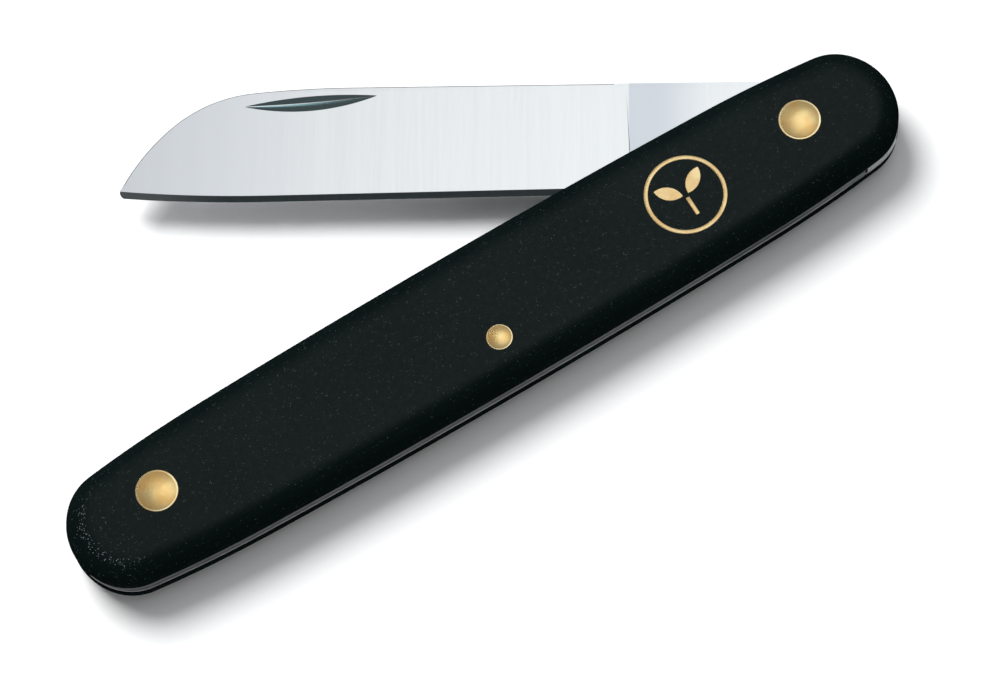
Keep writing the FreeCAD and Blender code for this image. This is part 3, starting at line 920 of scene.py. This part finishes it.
def spring_outline():
    """Round the tail and along the -Y side to the lifted free end, then back past the well."""
    seat = PIVOT.y - TANG_CAM - SPRING_SEAT_GAP
    (start_x, start_y), (bend_x, bend_y), (end_x, end_y) = LIFTED_BACK
    rivet = node_centre("spring_rivet")
    tail_face = node_centre("tail_rivet").x + SPRING_TAIL_REACH
    shell = handle_outline(SPRING_INSET, METAL_SHIFT)
    under = [p for p in shell if p.y < 0 and SPRING_TAIL_X < p.x < start_x]
    tail = [p for p in shell if p.x <= SPRING_TAIL_X]
    over = [p for p in shell if p.y > 0 and SPRING_TAIL_X < p.x < tail_face]
    under.sort(key=lambda p: p.x)
    tail.sort(key=lambda p: -p.y)
    over.sort(key=lambda p: -p.x)
    lifted = rounded_corners([
        (start_x, start_y, 0),
        (bend_x, bend_y, 30),
        (end_x, end_y, 0.5),
        (end_x, seat, 0.25),
        (PIVOT.x - 2.8, seat, 3.0),
        (PIVOT.x - 6.5, seat - 0.42, 8.0),
        (rivet.x + 5.2, rivet.y - 2.05, 2.4),
        (rivet.x + BOSS_HALF_WIDTH, rivet.y + BOSS_HEIGHT, 1.4),
        (rivet.x - BOSS_HALF_WIDTH, rivet.y + BOSS_HEIGHT, 1.4),
        (rivet.x - 5.0, rivet.y - 0.3, 2.4),
        (tail_face, rivet.y + 0.2, 4.0),
        (tail_face, over[0].y, 0),
    ], closed=False)
    return filled_in(over[1:] + tail + under + lifted)


def make_spring(material):
    low, high = SPRING_LOW.z, SPRING_HIGH.z
    profile = rounded_profile(low, high, SPRING_EDGE)
    piece = contour_solid("spring_ground", spring_outline(), profile)
    cut(piece, shank_cutters(("spring", "tail"), low - 1, high + 1))
    return place_piece(piece, "back_spring", "handle", material)


# ---------------------------------------------------------------- blade
def blade_place():
    """From blade axes (u to the point, v to the spine) to the frame at rest."""
    flip = Matrix.Rotation(math.pi, 4, "X")
    turn = Matrix.Rotation(math.radians(BLADE_REST_ANGLE), 4, "Z")
    return Matrix.Translation(PIVOT) @ turn @ flip


def cutting_edge():
    """Points along the cutting edge, from the point to the heel."""
    bend, heel = Vector(EDGE_BEND), Vector(EDGE_HEEL)
    curved = tangent_arc(bend, (bend - heel).normalized(), Vector(EDGE_TIP))
    return [Vector(EDGE_TIP)] + curved[:0:-1] + line_points(bend, heel)


def blade_outline():
    onset_start = Vector((SPINE_STRAIGHT_END, SPINE_V))
    onset_centre = onset_start - Vector((0, ONSET_RADIUS))
    onset_end = onset_centre + direction(90 - ONSET_TURN) * ONSET_RADIUS
    nose_centre = onset_end - direction(90 - ONSET_TURN) * NOSE_RADIUS
    nose_turned = nose_centre + direction(90 - ONSET_TURN - NOSE_TURN) * NOSE_RADIUS
    nose_end, edge_tip, heel = Vector(NOSE_END), Vector(EDGE_TIP), Vector(EDGE_HEEL)
    half_turn = math.degrees(math.acos(TANG_FLAT / TANG_CAM))
    closed_normal = 90 + CLOSED_ANGLE
    centre = Vector((0, 0))
    flat_end = direction(closed_normal) * TANG_FLAT
    flat_end += direction(closed_normal + 90) * TANG_FLAT_REACH
    belly = Vector(TANG_BELLY)
    step_foot = Vector((STOP_STEP_U, TANG_FLAT))
    cam_start = direction(90 + half_turn) * TANG_CAM
    cam_end = direction(closed_normal - half_turn) * TANG_CAM
    step_side = Vector((STOP_STEP_U, SPINE_V - 0.5))
    step_mid = Vector((STOP_STEP_U + 0.16, SPINE_V - 0.16))
    step_top = Vector((STOP_STEP_U + 0.55, SPINE_V))
    choil_back = heel + Vector((-1.7, 0.12))
    choil_top = heel + Vector((-0.85, 0.95))
    outline = arc_through(step_side, step_mid, step_top, 0.1)
    outline += line_points(step_top, onset_start)
    outline += arc_points(onset_centre, ONSET_RADIUS, 90, 90 - ONSET_TURN)
    outline += arc_points(nose_centre, NOSE_RADIUS, 90 - ONSET_TURN, 90 - ONSET_TURN - NOSE_TURN)
    outline += tangent_arc(nose_turned, direction(-ONSET_TURN - NOSE_TURN), nose_end)
    outline += arc_through(nose_end, Vector(TIP_MIDDLE), edge_tip, 0.1)
    outline += cutting_edge()
    outline += arc_through(heel, choil_top, choil_back, 0.15)
    outline += line_points(choil_back, belly)
    outline += line_points(belly, flat_end)
    outline += line_points(flat_end, cam_end)
    outline += arc_points(centre, TANG_CAM, closed_normal - half_turn, 90 + half_turn, 0.2)
    outline += line_points(cam_start, step_foot, 0.3)
    outline += line_points(step_foot, step_side, 0.1)
    return outline


def grind_cutter(side):
    """Flat grind of one face, with the steep plunge where it starts."""
    half = BLADE_THICKNESS / 2
    slope = (half - GRIND_EDGE_HALF) / (GRIND_TOP_V - EDGE_TIP[1])
    low_v = EDGE_TIP[1] - 2.0
    length = 60.0
    above = 0.4
    points = []
    for v in (GRIND_TOP_V, low_v):
        depth = slope * (GRIND_TOP_V - v)
        start = PLUNGE_U - PLUNGE_LEAN * (GRIND_TOP_V - v)
        points += [
            (start - above / PLUNGE_SLOPE, v, half + above),
            (start + depth / PLUNGE_SLOPE, v, half - depth),
            (start + length, v, half - depth),
            (start + length, v, half + above),
        ]
    points = [(u, v, z * side) for u, v, z in points]
    faces = [(0, 1, 2, 3), (4, 7, 6, 5), (0, 4, 5, 1), (1, 5, 6, 2), (2, 6, 7, 3), (3, 7, 4, 0)]
    return make_object("grind", points, faces, blade_place())


def bevel_cutter(side):
    """What sharpening takes off one face: a sloping strip that follows the cutting edge."""
    slope = (GRIND_EDGE_HALF - EDGE_HALF) / BEVEL_WIDTH
    edge = cutting_edge() + [Vector(EDGE_HEEL)]
    lead = (edge[0] - edge[1]).normalized() * 2.0
    edge.insert(0, edge[0] + lead)
    points, faces = [], []
    section = [(-1.0, EDGE_HALF - slope), (2.0, EDGE_HALF + 2 * slope), (2.0, 3.0), (-1.0, 3.0)]
    for i, place in enumerate(edge):
        along = edge[min(i + 1, len(edge) - 1)] - edge[max(i - 1, 0)]
        inward = Vector((along.y, -along.x)).normalized()
        if inward.y < 0:
            inward.negate()
        for reach, z in section:
            spot = place + inward * reach
            points.append((spot.x, spot.y, z * side))
    for i in range(len(edge) - 1):
        for k in range(4):
            n = (k + 1) % 4
            faces.append((4 * i + k, 4 * i + n, 4 * i + 4 + n, 4 * i + 4 + k))
    last = len(points) - 4
    faces += [(3, 2, 1, 0), (last, last + 1, last + 2, last + 3)]
    return make_object("bevel", points, faces, blade_place())


def nick_cutter():
    """Disc with a lopsided V-shaped rim that scoops the nail nick out of the front face."""
    tip_end, tang_end = Vector(NICK_TIP_END), Vector(NICK_TANG_END)
    half_length = (tip_end - tang_end).length / 2
    radius = half_length ** 2 / (2 * NICK_DEPTH)
    along = (tip_end - tang_end).normalized()
    across = Vector((-along.y, along.x))
    middle = (tip_end + tang_end) / 2
    face_half = BLADE_THICKNESS / 2 - NICK_FACE_DROP
    centre_z = -(face_half - NICK_DEPTH + radius)
    hub = radius - NICK_RIM
    deeper = NICK_RIM / NICK_DEPTH
    section = [
        (radius, NICK_FLAT),
        (hub, NICK_UPPER * deeper),
        (hub, -NICK_LOWER * deeper),
        (radius, -NICK_FLAT),
    ]
    corners = len(section)
    points, faces = [], []
    for i in range(NICK_STEPS + 1):
        angle = math.radians(-NICK_SWEEP + 2 * NICK_SWEEP * i / NICK_STEPS)
        for reach, side in section:
            spot = middle + along * (reach * math.sin(angle)) + across * side
            points.append((spot.x, spot.y, centre_z + reach * math.cos(angle)))
    for i in range(NICK_STEPS):
        for k in range(corners):
            n = (k + 1) % corners
            low, high = corners * i, corners * (i + 1)
            faces.append((low + k, low + n, high + n, high + k))
    last = corners * NICK_STEPS
    faces += [tuple(reversed(range(corners))), tuple(range(last, last + corners))]
    return make_object("nick", points, faces, blade_place())


def ease_edges(piece, to_blade, material_index):
    """Breaks the sharp edges round the blade, except the cutting edge."""
    work = bmesh.new()
    work.from_mesh(piece.data)
    sharp = []
    for edge in work.edges:
        spot = to_blade @ ((edge.verts[0].co + edge.verts[1].co) / 2 / MM)
        tilts = sorted(abs(face.normal.z) for face in edge.link_faces)
        on_blade = spot.x > EDGE_HEEL[0] and spot.y > NOSE_END[1]
        if on_blade and len(tilts) == 2 and tilts[0] < WALL_TILT and tilts[1] > GROUND_TILT:
            sharp.append(edge)
    bmesh.ops.bevel(
        work, geom=sharp, offset=EDGE_EASE * MM, offset_type="OFFSET", segments=1,
        profile=0.5, affect="EDGES", clamp_overlap=False, material=material_index,
    )
    work.to_mesh(piece.data)
    work.free()


def make_blade(*materials):
    """Materials in order: ground faces, sharpened bevel (painted dark, pale at the point), nail
    nick, outline (painted dark).
    """
    half = BLADE_THICKNESS / 2
    piece = contour_solid("blade_ground", blade_outline(), [(0, -half), (0, half)], blade_place())
    bore = SHANK_RADIUS["pivot"] + PIVOT_CLEARANCE
    hole = [(0, -3), (bore, -3), (bore, 3), (0, 3)]
    hole = lathe("pivot_hole", [(r, z + PIVOT.z) for r, z in hole], PIVOT, 64)
    cutters = [grind_cutter(1), grind_cutter(-1), bevel_cutter(1), bevel_cutter(-1)]
    cut(piece, cutters + [nick_cutter(), hole])
    piece.data.materials.clear()
    for material in materials:
        piece.data.materials.append(material)
    to_blade = blade_place().inverted()
    for face in piece.data.polygons:
        spot = to_blade @ (face.center / MM)
        tilt = abs(face.normal.z)
        if spot.x < EDGE_HEEL[0] or tilt > GROUND_TILT:
            continue
        if spot.y < NOSE_END[1]:
            face.material_index = 1 if tilt > BEVEL_TILT else 0
        else:
            face.material_index = 3 if tilt < WALL_TILT else 2
    ease_edges(piece, to_blade, 3)
    return place_piece(piece, "blade", "blade", None, 15)


# ---------------------------------------------------------------- build
bpy.context.scene.view_settings.view_transform = "Standard"
make_camera()
make_floor()
make_lights()

plastic = scale_plastic()
# colour, direction of the lines, their length and spacing, roughness, depth and unevenness
polish = (BLADE_REST_ANGLE, 2.6, 0.10, 0.18, 0.0004, 0.25)
blade_steel = ground_steel("blade_steel", (0.745, 0.745, 0.745), *polish)
# painted reflection falloff: the tang is tinted darker, standing in for a dimmer reflection there
tint(blade_steel, painted_dim_tang, (0.57, 0.585, 0.615))
# painted reflection falloff: the blade is tinted greyer towards the point
tint(blade_steel, painted_grey_point, (0.69, 0.695, 0.715))
nick_steel = ground_steel("nick_steel", (0.72, 0.94, 0.96), *polish)
rim_finish = (BLADE_REST_ANGLE, 0.3, 4.0, 0.35, 0.002)
# painted dark reflection: the spine, nose and tang walls and the eased edges are coloured near
# black
rim_painted_dark = ground_steel("rim_painted_dark", (0.11, 0.12, 0.12), *rim_finish)
sharpening = (BLADE_REST_ANGLE, 6.0, 0.6, 0.16, 0.004, 1.5)
# painted: the bevel's steel is set dark and bluish for the dark surround it reflects, and paler at
# the point as a painted highlight
bevel_painted_dark = ground_steel("bevel_painted_dark", (0.36, 0.43, 0.45), *sharpening)
tint(bevel_painted_dark, painted_pale_point, (0.95, 1.0, 1.0))
# painted shade: the spring's steel is coloured dark for the shadowed floor its wall reflects
spring_steel = ground_steel("spring_steel", (0.16, 0.17, 0.17), 0, 0.25, 6.0, 0.36, 0.004)
liner_steel = ground_steel("liner_steel", (0.58, 0.59, 0.59), 0, 0.4, 5.0, 0.34, 0.003)
rivet_brass = brass("rivet_brass", (1.0, 0.75, 0.34), (0.98, 0.62, 0.22), 0.33, 0.82)
washer_brass = brass("washer_brass", (1.0, 0.84, 0.50), (0.95, 0.70, 0.34), 0.26, 0.9)
emblem_gilt = brass("emblem_gilt", (1.0, 0.76, 0.40), (1.0, 0.68, 0.30), 0.36, 0.85)

make_scale("front", plastic)
make_scale("rear", plastic)
make_liner("front", FRONT_LINER_LOW.z, FRONT_LINER_HIGH.z, liner_steel)
rear_liner = make_liner("rear", REAR_LINER_LOW.z, SPRING_LOW.z, liner_steel)
make_tab(rear_liner, liner_steel)
make_spring(spring_steel)
for rivet_name in RIVET_NAMES:
    make_rivet(rivet_name, rivet_brass)
    make_washer(rivet_name, "front", washer_brass)
    make_washer(rivet_name, "rear", washer_brass)
make_emblem(emblem_gilt)
make_blade(blade_steel, bevel_painted_dark, nick_steel, rim_painted_dark)
